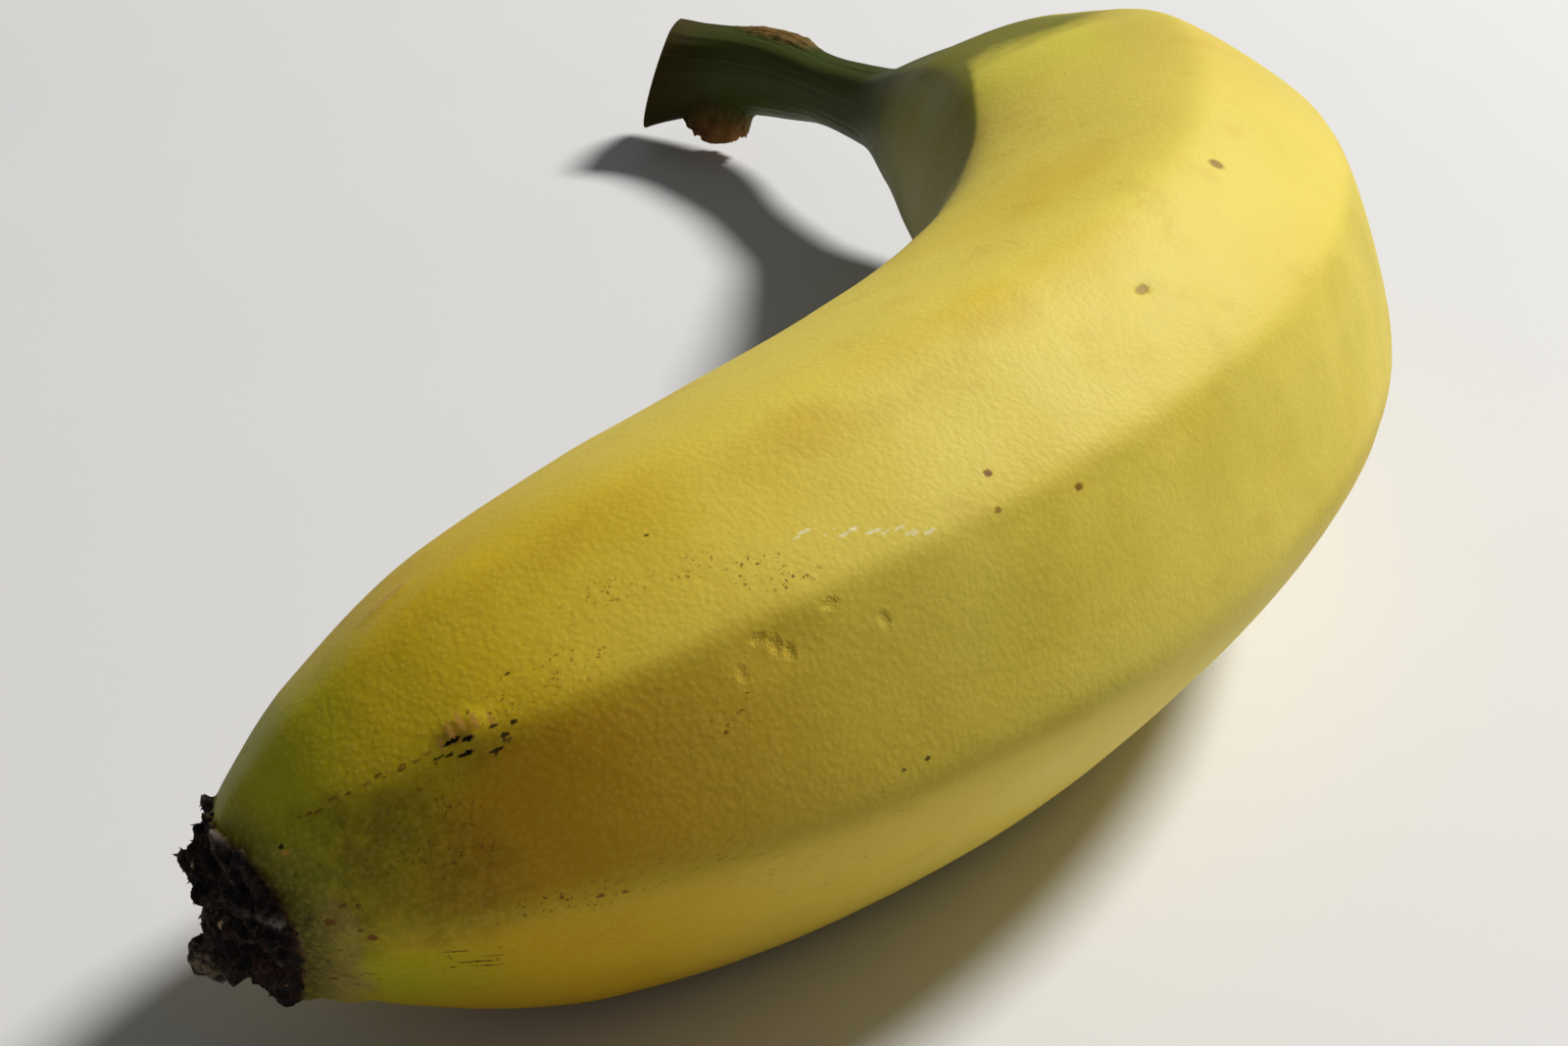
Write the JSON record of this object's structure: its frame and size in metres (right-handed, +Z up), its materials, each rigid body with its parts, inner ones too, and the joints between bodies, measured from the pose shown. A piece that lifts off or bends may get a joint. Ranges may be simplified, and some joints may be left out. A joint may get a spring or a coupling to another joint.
{
  "type": "banana",
  "caption": "Ripe dessert banana lying on its side: a curved, softly five-ridged yellow fruit with a dark dry blossom tip and a green stem cut flat.",
  "frame": {"origin": "on the surface it lies on, under the middle of its bounding box", "axes": "+Z up; +X from the blossom tip towards the cut stem, along the straight line between them; the outer bend faces -Y and the hollow of the bend faces +Y"},
  "size_m": [0.156, 0.071, 0.0365],
  "materials": {
    "peel": "ripe yellow peel, waxy satin, green towards both ends, brown specks and scuffs along the ridges"
  },
  "bodies": {
    "root": {"banana": "peel"}
  },
  "joints": []
}
